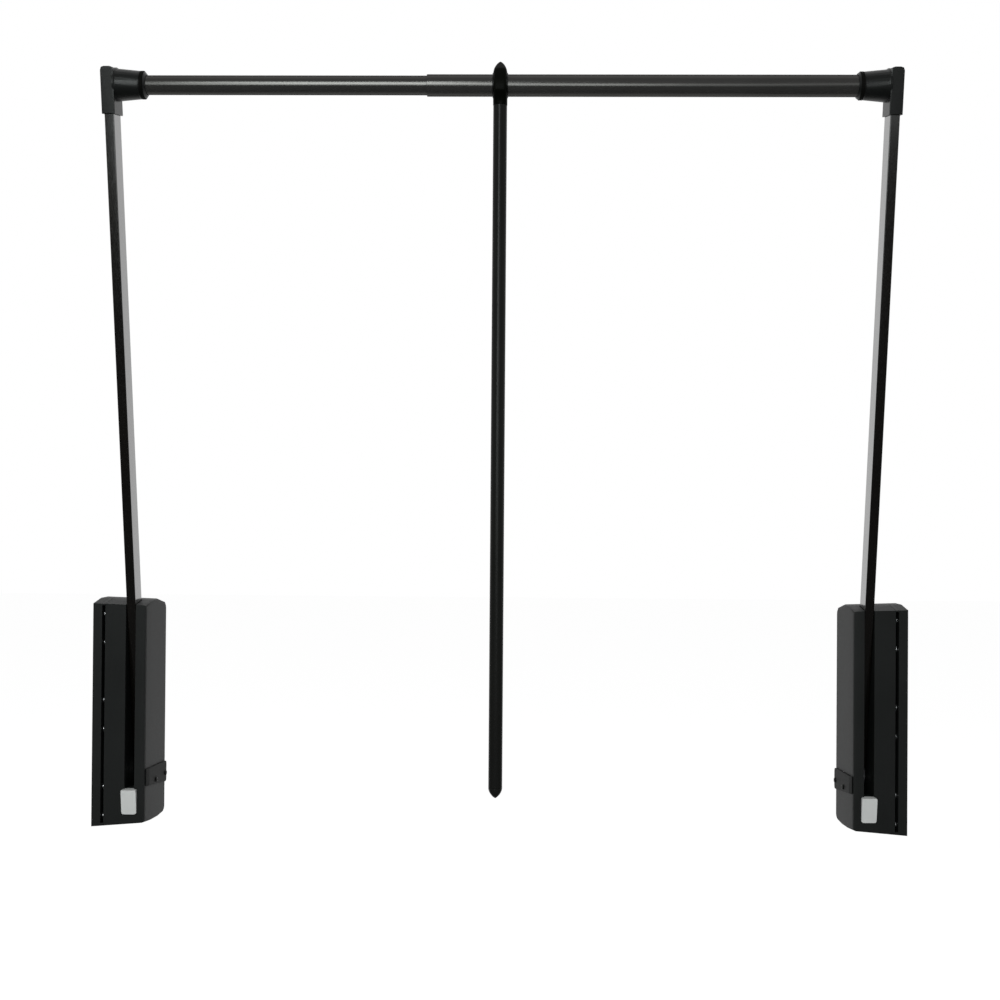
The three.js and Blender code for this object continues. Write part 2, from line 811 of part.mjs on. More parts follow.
function springSeat() {
  const outline = ring(rodRadius + fitGap, springRadius + springWire / 2, seatPlace, seatPlace + seatHeight);
  return turnedZ(outline, roundSides).translate(-slotCentre, rodLine, 0);
}

// Elbow: a socket over the arm's end and a tapered barrel, with a ring groove, over the tube's end.
function elbow(tubeRadius) {
  const near = slotCentre - armWidth / 2 - socketOuter;
  const far = slotCentre + armWidth / 2 + socketInner;
  const halfDeep = armDeep / 2 + socketSide;
  const low = armLength - socketBelow;
  const high = armLength + socketAbove;
  const front = new THREE.Shape();
  front.moveTo(-far, low);
  front.lineTo(-near, low);
  front.lineTo(-near, high - socketRound);
  front.quadraticCurveTo(-near, high, -(near + socketRound), high);
  front.lineTo(socketRound - far, high);
  front.quadraticCurveTo(-far, high, -far, high - socketRound);
  front.closePath();
  const socket = new THREE.ExtrudeGeometry(front, {
    depth: 2 * halfDeep - 2 * armCorner,
    bevelThickness: armCorner,
    bevelSize: armCorner,
    bevelOffset: -armCorner,
    bevelSegments: cornerSteps,
    curveSegments: cornerSteps,
  });
  socket.rotateX(Math.PI / 2);
  socket.translate(0, halfDeep - armCorner, 0);
  const end = far + barrelLength;
  const groove = end - barrelRingPlace;
  const grooveFar = -groove - barrelRing / 2;
  const grooveNear = barrelRing / 2 - groove;
  const points = [
    [0, -end],
    [tubeRadius + fitGap + barrelLip, -end],
    [barrelEnd, barrelChamfer - end],
    [barrelEnd, grooveFar],
    [barrelEnd - barrelRingDepth, grooveFar],
    [barrelEnd - barrelRingDepth, grooveNear],
    [barrelEnd, grooveNear],
    [barrelRoot, -far],
    [barrelRoot, -far + socketInner],
    [0, -far + socketInner],
  ];
  const barrel = turnedX(points, fineSides).translate(0, 0, armLength);
  const shoulderPoints = [
    [0, -far - barrelShoulderLength],
    [barrelEnd, -far - barrelShoulderLength],
    [barrelShoulder, -far],
    [barrelShoulder, -far + socketInner],
    [0, -far + socketInner],
  ];
  const shoulder = turnedX(shoulderPoints, fineSides).translate(0, 0, armLength);
  const shoulderEnd = far + barrelShoulderLength;
  const aboveTop = armLength + barrelShoulder;
  const above = block(near, shoulderEnd, -barrelShoulder, barrelShoulder, armLength, aboveTop);
  const boreEnd = tubeInBarrel + fitGap - end;
  const boreProfile = disc(tubeRadius + fitGap, -end - cut, boreEnd);
  const tubeBore = turnedX(boreProfile, fineSides).translate(0, 0, armLength);
  const halfWide = armWidth / 2 + fitGap;
  const halfBore = armDeep / 2 + fitGap;
  const boreTop = armLength + armInSocket + fitGap;
  const boreNear = slotCentre - halfWide;
  const boreFar = slotCentre + halfWide;
  const armBore = block(boreNear, boreFar, -halfBore, halfBore, low - cut, boreTop);
  const screwBore = pin(plateScrewBore, near - cut, slotCentre, 0, elbowScrewPlace, smallSides);
  const bores = union([toSolid(tubeBore), armBore, screwBore]);
  return union([toSolid(socket), toSolid(barrel), toSolid(shoulder).intersect(above)]).subtract(bores);
}

// Handle head: an eye round the tube, pointed above and narrowed to a neck below.
function handleHead() {
  const eye = new THREE.Shape();
  eye.moveTo(-headNeck, -headBottom);
  eye.lineTo(headNeck, -headBottom);
  eye.quadraticCurveTo(headNeck, -headRing, headRing - headRound, -headShoulder);
  eye.quadraticCurveTo(headRing + headRound, 0, headShoulder + headRound, headRing - headRound);
  eye.quadraticCurveTo(headNeck, headRing + headRound, 0, headTop);
  eye.quadraticCurveTo(-headNeck, headRing + headRound, -headShoulder - headRound, headRing - headRound);
  eye.quadraticCurveTo(-headRing - headRound, 0, headRound - headRing, -headShoulder);
  eye.quadraticCurveTo(-headNeck, -headRing, -headNeck, -headBottom);
  const side = slab(eye, -headHalf, headHalf, headRound);
  const ogive = new THREE.Shape();
  ogive.moveTo(-headHalf, -headBottom - cut);
  ogive.lineTo(headHalf, -headBottom - cut);
  ogive.lineTo(headHalf, headShoulder);
  ogive.quadraticCurveTo(headHalf, headRing, headRound, headTop);
  ogive.lineTo(-headRound, headTop);
  ogive.quadraticCurveTo(-headHalf, headRing, -headHalf, headShoulder);
  const front = new THREE.ExtrudeGeometry(ogive, {
    depth: 4 * headRing,
    bevelEnabled: false,
    curveSegments: curveSteps,
  });
  front.rotateX(Math.PI / 2);
  front.translate(0, 2 * headRing, 0);
  const neckPoints = [
    [0, -headBottom - cut],
    [headNeck, -headBottom - cut],
    [headNeck, -headRing],
    [2 * headRing, headRing - headTop],
    [2 * headRing, headTop + cut],
    [0, headTop + cut],
  ];
  const neckRound = turnedZ(neckPoints, roundSides);
  const bore = pin(thickTube + linerWall + 2 * fitGap, -headHalf - cut, headHalf + cut, 0, 0, fineSides);
  const spigotLow = -headBottom - spigotLength;
  const spigot = turnedZ(disc(handleSpigot, spigotLow, cut - headBottom), roundSides);
  return side.intersect(toSolid(front)).intersect(toSolid(neckRound)).subtract(bore).add(toSolid(spigot));
}

// Liner that slides on the tube inside the head, with a lip at each side.
function handleLiner() {
  const inner = thickTube + fitGap;
  const outer = inner + linerWall;
  const lip = outer + linerLipRise;
  const edge = headHalf + fitGap;
  return turnedX(
    [[inner, -edge - linerLip], [lip, -edge - linerLip], [lip, -edge], [outer, -edge], [outer, edge],
      [lip, edge], [lip, edge + linerLip], [inner, edge + linerLip], [inner, -edge - linerLip]],
    fineSides,
  );
}

const tipStart = handleDrop - tipLength;

function handleTubePiece() {
  const low = fitGap - tipStart;
  const high = -headBottom - fitGap;
  return turnedZ(ring(handleTube - tubeWall, handleTube, low, high), roundSides);
}

// Rounded foot of the handle, held in the tube by a spigot.
function handleTip() {
  const points = [[0, -handleDrop]];
  for (let i = 1; i <= tipSteps; i++) {
    const share = (i / tipSteps) ** 2;
    const radius = handleTube * (1 - (1 - share) ** tipTaper) ** tipRound;
    points.push([radius, tipLength * share - handleDrop]);
  }
  points.push([handleSpigot, -tipStart]);
  points.push([handleSpigot, spigotLength - tipStart]);
  points.push([0, spigotLength - tipStart]);
  return turnedZ(points, roundSides);
}

// One side of the lift; the left one is the right one mirrored.
function makeSide(side, tubeRadius) {
  const group = new THREE.Group();
  const base = housingDepth + fitGap;
  group.add(meshOf(side + "_wall_tray", wallTray(), blackPlastic));
  group.add(meshOf(side + "_housing_shell", housingShell(), blackPlastic));
  group.add(meshOf(side + "_axle_plate", axlePlate(), blackPlastic));
  const axleEnd = housingDepth - fitGap;
  const axle = pinGeometry(axleRadius, axleSeat + fitGap, axleEnd, 0, 0, roundSides, axleChamfer);
  group.add(meshOf(side + "_swing_axle", axle, bareSteel));
  group.add(meshOf(side + "_arm_buffer", armBuffer(), paleBuffer));
  group.add(meshOf(side + "_spring_seat", springSeat(), bareSteel));
  group.add(meshOf(side + "_lift_spring", coilSpring(), bareSteel));
  group.add(meshOf(side + "_spring_rod", springRod(), bareSteel));
  screwHeights.forEach((z, i) => {
    group.add(meshOf(side + "_wall_screw_" + (i + 1), wallScrew(z), brightSteel));
  });
  plateScrews.forEach((y, i) => {
    const screw = smallScrew(base + plateThickness + fitGap, smallScrewLength, y, -plateScrewDrop);
    group.add(meshOf(side + "_plate_screw_" + (i + 1), screw, blackMetal));
  });
  const raised = new THREE.Group();
  raised.rotation.x = armLean;
  raised.add(meshOf(side + "_rest_pad", restPad(), rubber));
  group.add(raised);
  const swing = new THREE.Group();
  swing.rotation.x = armLean;
  swing.add(meshOf(side + "_arm", armBar(), blackMetal));
  swing.add(meshOf(side + "_arm_hub", armHub(), bareSteel));
  swing.add(meshOf(side + "_hub_bush", hubBush(), nylon));
  const pinHalf = forkHalf + cheekWall;
  const crank = pinGeometry(crankPin, slotCentre - pinHalf, slotCentre + pinHalf, crankY, crankZ, smallSides);
  swing.add(meshOf(side + "_crank_pin", crank, bareSteel));
  swing.add(meshOf(side + "_elbow", elbow(tubeRadius), blackPlastic));
  const elbowScrew = smallScrew(0, elbowScrewLength, 0, 0).rotateZ(Math.PI);
  const elbowSide = slotCentre - armWidth / 2 - socketOuter - fitGap;
  elbowScrew.translate(-elbowSide, 0, elbowScrewPlace);
  swing.add(meshOf(side + "_elbow_screw", elbowScrew, blackMetal));
  group.add(swing);
  return group;
}

// Hanging rod between the elbows, in the frame of its own middle, with the handle on it.
function makeRod() {
  const group = new THREE.Group();
  group.position.set(-wallToWall / 2, -armLength * Math.sin(armLean), armLength * Math.cos(armLean));
  const elbowFace = wallToWall / 2 - slotCentre - armWidth / 2 - socketInner;
  const tubeEnd = elbowFace - barrelLength + tubeInBarrel;
  const thick = ring(thickTube - tubeWall, thickTube, -tubeStep, tubeEnd);
  group.add(meshOf("thick_tube", turnedX(thick, fineSides), darkTube));
  const thin = ring(thinTube - tubeWall, thinTube, -tubeEnd, tubeOverlap - tubeStep);
  group.add(meshOf("thin_tube", turnedX(thin, fineSides), darkTube));
  const handle = new THREE.Group();
  handle.position.x = handlePlace;
  handle.add(meshOf("handle_liner", handleLiner(), nylon));
  handle.add(meshOf("handle_head", handleHead(), blackPlastic));
  handle.add(meshOf("handle_tube", handleTubePiece(), darkTube));
  handle.add(meshOf("handle_tip", handleTip(), blackPlastic));
  group.add(handle);
  return group;
}

const lift = new THREE.Group();
lift.add(makeSide("right", thickTube));
const left = makeSide("left", thinTube);
left.position.x = -wallToWall;
left.scale.x = -1;
lift.add(left);
lift.add(makeRod());
console.log("least gap in the lift spring: " + leastSpringGap().toFixed(2) + " mm");

export default lift;
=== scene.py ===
"""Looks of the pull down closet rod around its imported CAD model."""

import json
import math

import bmesh
import bpy
from mathutils import Matrix, Vector


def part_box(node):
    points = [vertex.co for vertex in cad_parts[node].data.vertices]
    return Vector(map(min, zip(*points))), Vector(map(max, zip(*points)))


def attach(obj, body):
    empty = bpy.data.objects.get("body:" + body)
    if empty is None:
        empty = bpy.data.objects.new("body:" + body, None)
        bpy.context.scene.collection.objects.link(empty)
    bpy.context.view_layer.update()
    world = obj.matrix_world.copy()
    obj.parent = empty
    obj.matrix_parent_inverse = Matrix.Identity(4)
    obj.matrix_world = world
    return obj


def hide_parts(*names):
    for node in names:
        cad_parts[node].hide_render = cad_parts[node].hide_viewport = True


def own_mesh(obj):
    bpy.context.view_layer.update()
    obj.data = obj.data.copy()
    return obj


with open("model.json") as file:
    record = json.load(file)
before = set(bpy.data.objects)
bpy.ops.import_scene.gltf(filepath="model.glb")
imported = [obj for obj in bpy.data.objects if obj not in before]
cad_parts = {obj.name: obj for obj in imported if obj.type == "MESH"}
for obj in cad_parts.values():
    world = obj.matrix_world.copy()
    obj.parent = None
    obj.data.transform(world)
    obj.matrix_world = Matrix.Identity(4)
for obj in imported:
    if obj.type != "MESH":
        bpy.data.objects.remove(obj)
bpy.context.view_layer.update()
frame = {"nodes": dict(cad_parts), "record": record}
nodes = frame["nodes"]
MM = 0.001

# Sizes of the CAD model that the pieces here follow, in millimetres
WALL_TO_WALL = 896.0
ARM_LENGTH = 750.0
ARM_LEAN = math.radians(11.0)
ROD_Y = -ARM_LENGTH * math.sin(ARM_LEAN)
ROD_Z = ARM_LENGTH * math.cos(ARM_LEAN)

# Smooth shading: welding distance in metres, least angle of a rounded edge, weight of flat faces
WELD_METRES = 0.00001
SHARP, CARVED_SHARP = 35.0, 40.0
FLAT_WEIGHT, FLAT_THRESHOLD = 90, 0.01


def smooth_group():
    """Geometry nodes that weld a faceted node and shade it smooth."""
    group = bpy.data.node_groups.new("weld_and_smooth", "GeometryNodeTree")
    group.interface.new_socket("Geometry", in_out="INPUT", socket_type="NodeSocketGeometry")
    group.interface.new_socket("Geometry", in_out="OUTPUT", socket_type="NodeSocketGeometry")
    source = group.nodes.new("NodeGroupInput")
    target = group.nodes.new("NodeGroupOutput")
    forget = group.nodes.new("GeometryNodeRemoveAttribute")
    forget.inputs["Name"].default_value = "custom_normal"
    merge = group.nodes.new("GeometryNodeMergeByDistance")
    merge.inputs["Distance"].default_value = WELD_METRES
    smooth = group.nodes.new("GeometryNodeSetShadeSmooth")
    smooth.inputs["Shade Smooth"].default_value = True
    chain = (source, forget, merge, smooth, target)
    for a, b in zip(chain, chain[1:]):
        group.links.new(a.outputs[0], b.inputs[0])
    return group


SMOOTH = smooth_group()


def flatten(obj):
    """Lets the large faces keep their flat shading."""
    weights = obj.modifiers.new("flats", "WEIGHTED_NORMAL")
    weights.weight = FLAT_WEIGHT
    weights.thresh = FLAT_THRESHOLD


def soften(obj, width, segments, angle=SHARP):
    """Welds the mesh, rounds its sharp edges by a width in millimetres and shades it smooth."""
    weld = obj.modifiers.new("weld", "NODES")
    weld.node_group = SMOOTH
    bevel = obj.modifiers.new("edges", "BEVEL")
    bevel.width = width * MM
    bevel.segments = segments
    bevel.limit_method = "ANGLE"
    bevel.angle_limit = math.radians(angle)
    bevel.harden_normals = True
    bevel.use_clamp_overlap = True
    bevel.miter_outer = "MITER_ARC"
    flatten(obj)


def material(name):
    mat = bpy.data.materials.new(name)
    mat.use_nodes = True
    tree = mat.node_tree
    tree.nodes.clear()
    out = tree.nodes.new("ShaderNodeOutputMaterial")
    shader = tree.nodes.new("ShaderNodeBsdfPrincipled")
    tree.links.new(shader.outputs[0], out.inputs[0])
    return mat, tree, shader


def noise(tree, scale, detail):
    place = tree.nodes.new("ShaderNodeTexCoord")
    texture = tree.nodes.new("ShaderNodeTexNoise")
    texture.inputs["Scale"].default_value = scale
    texture.inputs["Detail"].default_value = detail
    tree.links.new(place.outputs["Object"], texture.inputs["Vector"])
    return texture.outputs["Fac"]


# Values of the noise texture that count as its ends
NOISE_LOW, NOISE_HIGH = 0.3, 0.7


def spread(tree, value, low, high):
    """Stretches a noise value to a range."""
    ranged = tree.nodes.new("ShaderNodeMapRange")
    ranged.inputs["From Min"].default_value = NOISE_LOW
    ranged.inputs["From Max"].default_value = NOISE_HIGH
    ranged.inputs["To Min"].default_value = low
    ranged.inputs["To Max"].default_value = high
    tree.links.new(value, ranged.inputs["Value"])
    return ranged.outputs[0]


def tint(tree, value, dark, light):
    """Mixes two colours by a value."""
    mix = tree.nodes.new("ShaderNodeMix")
    mix.data_type = "RGBA"
    mix.inputs["A"].default_value = (*dark, 1.0)
    mix.inputs["B"].default_value = (*light, 1.0)
    tree.links.new(value, mix.inputs["Factor"])
    return mix.outputs["Result"]


def bump(tree, shader, value, distance):
    node = tree.nodes.new("ShaderNodeBump")
    node.inputs["Distance"].default_value = distance * MM
    tree.links.new(value, node.inputs["Height"])
    tree.links.new(node.outputs[0], shader.inputs["Normal"])


CLOUD_SCALE, CLOUD_DETAIL, GRAIN_DETAIL = 14.0, 4.0, 2.0
COAT_ROUGH = 0.1


def surface(name, dark, light, rough, grain, grain_depth,
            metallic=0.0, specular=0.5, coat=0.0, edge=1.0):
    """A finish with a clouded colour and a fine grain in its roughness and relief."""
    mat, tree, shader = material(name)
    cloud = noise(tree, CLOUD_SCALE, CLOUD_DETAIL)
    fine = noise(tree, grain, GRAIN_DETAIL)
    colour = tint(tree, spread(tree, cloud, 0.0, 1.0), dark, light)
    tree.links.new(colour, shader.inputs["Base Color"])
    tree.links.new(spread(tree, fine, rough[0], rough[1]), shader.inputs["Roughness"])
    shader.inputs["Metallic"].default_value = metallic
    shader.inputs["Specular IOR Level"].default_value = specular
    shader.inputs["Specular Tint"].default_value = (edge, edge, edge, 1.0)
    shader.inputs["Coat Weight"].default_value = coat
    shader.inputs["Coat Roughness"].default_value = COAT_ROUGH
    bump(tree, shader, fine, grain_depth)
    return mat


# Finishes: dark and light end of the colour, range of roughness, scale and depth (mm) of the grain
FINISHES = {
    "black_plastic": dict(
        dark=(0.0074, 0.0081, 0.0079), light=(0.0100, 0.0108, 0.0106), rough=(0.5, 0.62),
        grain=1400.0, grain_depth=0.02, specular=0.14),
    "elbow_plastic": dict(
        dark=(0.0040, 0.0045, 0.0043), light=(0.0056, 0.0062, 0.0060), rough=(0.32, 0.4),
        grain=1400.0, grain_depth=0.01, specular=0.22),
    "plate_plastic": dict(
        dark=(0.0060, 0.0062, 0.0061), light=(0.0080, 0.0084, 0.0082), rough=(0.5, 0.62),
        grain=1400.0, grain_depth=0.01, specular=0.05),
    # The black metal's near-black is the paint's own; its brown tint is a painted reflection of a
    # warm brown surround
    "black_metal": dict(
        dark=(0.0018, 0.0013, 0.0009), light=(0.0028, 0.0020, 0.0014), rough=(0.16, 0.24),
        grain=500.0, grain_depth=0.002, coat=0.6),
    "dull_metal": dict(
        dark=(0.0018, 0.0018, 0.0017), light=(0.0028, 0.0028, 0.0027), rough=(0.4, 0.5),
        grain=500.0, grain_depth=0.002, specular=0.15),
    "dark_tube": dict(
        dark=(0.064, 0.0620, 0.0600), light=(0.071, 0.0688, 0.0668), rough=(0.15, 0.2),
        grain=420.0, grain_depth=0.0006, metallic=0.7, specular=0.2, edge=0.15),
    "handle_tube": dict(
        dark=(0.0072, 0.0073, 0.0067), light=(0.0094, 0.0095, 0.0088), rough=(0.22, 0.28),
        grain=420.0, grain_depth=0.002, specular=0.08),
    "dark_head": dict(
        dark=(0.0010, 0.0012, 0.0005), light=(0.0016, 0.0018, 0.0010), rough=(0.45, 0.55),
        grain=1400.0, grain_depth=0.01, specular=0.04),
    "pale_buffer": dict(
        dark=(0.52, 0.52, 0.515), light=(0.57, 0.57, 0.565), rough=(0.4, 0.5),
        grain=1000.0, grain_depth=0.01, specular=0.4),
    "bright_steel": dict(
        dark=(0.6, 0.6, 0.62), light=(0.75, 0.75, 0.76), rough=(0.12, 0.22),
        grain=900.0, grain_depth=0.002, metallic=1.0),
    "bare_steel": dict(
        dark=(0.3, 0.3, 0.31), light=(0.42, 0.42, 0.43), rough=(0.28, 0.42),
        grain=500.0, grain_depth=0.004, metallic=1.0),
    "spring_steel": dict(
        dark=(0.16, 0.16, 0.17), light=(0.26, 0.26, 0.27), rough=(0.25, 0.4),
        grain=600.0, grain_depth=0.004, metallic=1.0),
    "dark_nylon": dict(
        dark=(0.0030, 0.0032, 0.0026), light=(0.0045, 0.0047, 0.0040), rough=(0.35, 0.45),
        grain=1200.0, grain_depth=0.01, specular=0.2),
    "black_rubber": dict(
        dark=(0.002, 0.002, 0.0018), light=(0.0035, 0.0035, 0.0030), rough=(0.6, 0.75),
        grain=800.0, grain_depth=0.02, specular=0.04),
}
MATERIALS = {name: surface(name, **finish) for name, finish in FINISHES.items()}

# Looks of single nodes that differ from the finish of their slot
LOOK_OF_NODE = {
    "left_elbow": "elbow_plastic", "right_elbow": "elbow_plastic",
    "left_axle_plate": "plate_plastic", "right_axle_plate": "plate_plastic",
}
# Edge rounding in millimetres by slot, and of single kinds of node that differ from their slot
EDGE_OF_SLOT = {
    "black_plastic": 0.5, "black_metal": 0.3, "dark_tube": 0.25, "pale_buffer": 0.6,
    "bright_steel": 0.7, "bare_steel": 0.25, "spring_steel": 0.0, "dark_nylon": 0.2,
    "black_rubber": 0.3,
}
EDGE_OF_KIND = {"axle_plate": 0.2, "housing_shell": 1.0, "wall_tray": 1.0}
EDGE_SEGMENTS = 3

for part in frame["record"]["subparts"]:
    obj = nodes[part["node"]]
    slot = part["material_slot"]
    obj.data.materials.clear()
    obj.data.materials.append(MATERIALS[LOOK_OF_NODE.get(part["node"], slot)])
    kind = part["node"].split("_", 1)[1]
    soften(obj, EDGE_OF_KIND.get(kind, EDGE_OF_SLOT[slot]), EDGE_SEGMENTS)


# Helpers for the pieces made here, all in millimetres: sides of a round, welding distance,
# steps of a rounded corner and the part of a side that it may not pass
ROUND = 96
WELD = 0.001
CORNER_STEPS, CORNER_LIMIT = 4, 2.2


def reach(node, axis):
    """Ends of a CAD node along an axis."""
    low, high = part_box(node)
    place = "XYZ".index(axis)
    return low[place] / MM, high[place] / MM


def curve(start, lean, end, steps=12):
    """Points from start to end on a curve that leans towards a third point."""
    start, lean, end = Vector(start), Vector(lean), Vector(end)
    shares = [k / steps for k in range(steps + 1)]
    return [start.lerp(lean, s).lerp(lean.lerp(end, s), s) for s in shares]


def rounded(points, radius):
    """Rounds the corners of a closed outline of (along, out) points."""
    made = []
    for i, corner in enumerate(points):
        here = Vector(corner)
        before = Vector(points[i - 1]) - here
        after = Vector(points[(i + 1) % len(points)]) - here
        cut = min(radius, before.length / CORNER_LIMIT, after.length / CORNER_LIMIT)
        start, end = here + before.normalized() * cut, here + after.normalized() * cut
        made += curve(start, here, end, CORNER_STEPS)
    return made


def skin(rings, count, joined=False):
    """Faces over rings of points, joined in a loop or capped at both ends."""
    faces = []
    for k in range(rings if joined else rings - 1):
        here, there = k * count, (k + 1) % rings * count
        for i in range(count):
            j = (i + 1) % count
            faces.append((here + i, here + j, there + j, there + i))
    if not joined:
        faces.append(tuple(reversed(range(count))))
        faces.append(tuple((rings - 1) * count + i for i in range(count)))
    return faces


def turned(outline, axis, centre, sides=ROUND):
    """Points and faces of a closed outline of (along, out) points, turned about an axis."""
    points = []
    for k in range(sides):
        angle = 2 * math.pi * k / sides
        for along, out in outline:
            a, b = out * math.cos(angle), out * math.sin(angle)
            if axis == "X":
                points.append((along, centre[1] + a, centre[2] + b))
            else:
                points.append((centre[0] + a, centre[1] + b, along))
    return points, skin(sides, len(outline), joined=True)


def column(radius, low, high, centre):
    """Points and faces of a closed round bar along X."""
    angles = [2 * math.pi * k / ROUND for k in range(ROUND)]
    points = [(along, centre[1] + radius * math.cos(angle), centre[2] + radius * math.sin(angle))
              for along in (low, high) for angle in angles]
    return points, skin(2, ROUND)


def beam(low, high):
    """Points and faces of a box between two corners."""
    xs, ys, zs = zip(low, high)
    points = [(x, y, z) for x in xs for y in ys for z in zs]
    faces = [(0, 1, 3, 2), (4, 6, 7, 5), (0, 4, 5, 1), (2, 3, 7, 6), (0, 2, 6, 4), (1, 5, 7, 3)]
    return points, faces


def new_piece(name, points, faces, look, body, slot, stands_for=()):
    """Makes a smooth mesh piece, which rides on a body."""
    mesh = bpy.data.meshes.new(name)
    mesh.from_pydata([Vector(p) * MM for p in points], [], faces)
    form = bmesh.new()
    form.from_mesh(mesh)
    bmesh.ops.remove_doubles(form, verts=form.verts, dist=WELD * MM)
    bmesh.ops.recalc_face_normals(form, faces=form.faces)
    form.to_mesh(mesh)
    form.free()
    mesh.shade_smooth()
    mesh.materials.append(MATERIALS[look])
    obj = bpy.data.objects.new(name, mesh)
    bpy.context.scene.collection.objects.link(obj)
    flatten(obj)
    if stands_for:
        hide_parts(*stands_for)
    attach(obj, body)
    return obj


def cut_out(obj, points, faces):
    """Takes a closed form out of a mesh object."""
    mesh = bpy.data.meshes.new("cutter")
    mesh.from_pydata([Vector(p) * MM for p in points], [], faces)
    cutter = bpy.data.objects.new("cutter", mesh)
    bpy.context.scene.collection.objects.link(cutter)
    cut = obj.modifiers.new("cut", "BOOLEAN")
    cut.operation = "DIFFERENCE"
    cut.solver = "EXACT"
    cut.object = cutter
    bpy.context.view_layer.update()
    evaluated = obj.evaluated_get(bpy.context.evaluated_depsgraph_get())
    whole = bpy.data.meshes.new_from_object(evaluated)
    obj.modifiers.remove(cut)
    obj.data = whole
    bpy.data.objects.remove(cutter)
    bpy.data.meshes.remove(mesh)


# Rod and handle tubes
HANDLE_X = -WALL_TO_WALL / 2
ROD = (0.0, ROD_Y, ROD_Z)
HANDLE = (HANDLE_X, ROD_Y, 0.0)
THICK_TUBE, THIN_TUBE, HANDLE_TUBE = 11.25, 9.95, 7.2
TUBE_WALL, TUBE_EASE = 1.0, 0.3


def tube(node, radius, axis, centre, look, body):
    """A drawn tube with eased ends in place of a CAD tube."""
    low, high = reach(node, axis)
    inner = radius - TUBE_WALL
    outline = rounded([(low, radius), (high, radius), (high, inner), (low, inner)], TUBE_EASE)
    points, faces = turned(outline, axis, centre)
    new_piece(node + "_drawn", points, faces, look, body, "dark_tube", (node,))


tube("thick_tube", THICK_TUBE, "X", ROD, "dark_tube", "right_frame")
tube("thin_tube", THIN_TUBE, "X", ROD, "dark_tube", "left_frame")
tube("handle_tube", HANDLE_TUBE, "Z", HANDLE, "handle_tube", "handle")

# Rounded foot of the handle, with its spigot in the tube
TIP_LENGTH, TIP_TAPER, TIP_ROUND, TIP_STEPS = 10.5, 1.8, 0.8, 28
SPIGOT_GAP = 0.3
foot, foot_end = reach("handle_tip", "Z")
outline = []
for i in range(TIP_STEPS + 1):
    share = (i / TIP_STEPS) ** 2
    radius = HANDLE_TUBE * (1 - (1 - share) ** TIP_TAPER) ** TIP_ROUND
    outline.append((foot + TIP_LENGTH * share, radius))
spigot = HANDLE_TUBE - TUBE_WALL - SPIGOT_GAP
outline += [(foot + TIP_LENGTH, spigot), (foot_end, spigot), (foot_end, 0.0)]
new_piece("handle_tip_round", *turned(outline, "Z", HANDLE), "handle_tube", "handle",
          "black_plastic", ("handle_tip",))

# Liner on the rod, with a lip that slopes away at each side of the head
LINER_IN, LINER_OUT, LINER_LIP, LIP_END = 11.55, 12.55, 12.9, 12.0
LIP_START, LINER_EASE = 7.7, 0.15
liner_low, liner_high = reach("handle_liner", "X")
lip_low, lip_high = HANDLE_X - LIP_START, HANDLE_X + LIP_START
outline = rounded(
    [(liner_low, LINER_IN), (liner_low, LIP_END), (lip_low, LINER_LIP), (lip_low, LINER_OUT),
     (lip_high, LINER_OUT), (lip_high, LINER_LIP), (liner_high, LIP_END), (liner_high, LINER_IN)],
    LINER_EASE)
new_piece("handle_liner_round", *turned(outline, "X", ROD), "dark_nylon", "handle_slider",
          "dark_nylon", ("handle_liner",))

# Handle head: slices across its height, bored for the liner
HEAD_HALF, HEAD_BORE, BORE_REACH, HEAD_EDGE = 7.4, 12.85, 10.0, 0.3
# Side outline: half-depth of the neck and of the ring, the ring's lean, and heights from the rod
HEAD_NECK, HEAD_RING, HEAD_ROUND = 7.7, 16.5, 1.4
HEAD_LOW, HEAD_SHOULDER, HEAD_TOP = -20.5, 9.0, 24.8
# Slices: exponent of the narrowing top and least half-depth, then how much squarer than round
# they get, and over which heights from the neck and from the tip
HEAD_OGIVE, HEAD_LEAST = 0.62, 0.6
SQUARE_MORE, SQUARE_BELOW, SQUARE_ABOVE = 3.5, 9.0, 12.0
SLICES, LOW_INSET, TOP_INSET = 44, 0.01, 0.05
neck = (HEAD_NECK, HEAD_LOW)
chin = (HEAD_RING - HEAD_ROUND, -HEAD_SHOULDER)
brow = (HEAD_SHOULDER + HEAD_ROUND, HEAD_RING - HEAD_ROUND)
depths = [Vector(neck)] + curve(neck, (HEAD_NECK, -HEAD_RING), chin)
depths += curve(chin, (HEAD_RING + HEAD_ROUND, 0.0), brow)
depths += curve(brow, (HEAD_NECK, HEAD_RING + HEAD_ROUND), (0.0, HEAD_TOP))


def across(outline, z):
    """Half-width of an outline of (half-width, height) points at a height."""
    for a, b in zip(outline, outline[1:]):
        if a[1] <= z <= b[1] and b[1] > a[1]:
            return a.lerp(b, (z - a[1]) / (b[1] - a[1]))[0]
    return outline[-1][0]


def head_slice(z):
    """Ring of points round the head: round at the neck and the tip, squarer between them."""
    rise = max(0.0, (z - HEAD_SHOULDER) / (HEAD_TOP - HEAD_SHOULDER))
    wide = HEAD_HALF * (1 - rise * rise) ** HEAD_OGIVE
    deep = max(across(depths, z), HEAD_LEAST)
    below = min(1.0, (z - HEAD_LOW) / SQUARE_BELOW)
    above = min(1.0, max(0.0, (HEAD_TOP - z) / SQUARE_ABOVE))
    square = 2.0 + SQUARE_MORE * below * above
    ring = []
    for k in range(ROUND):
        angle = 2 * math.pi * k / ROUND
        c, s = math.cos(angle), math.sin(angle)
        x = wide * math.copysign(abs(c) ** (2 / square), c)
        y = deep * math.copysign(abs(s) ** (2 / square), s)
        ring.append((HANDLE_X + x, ROD_Y + y, ROD_Z + z))
    return ring


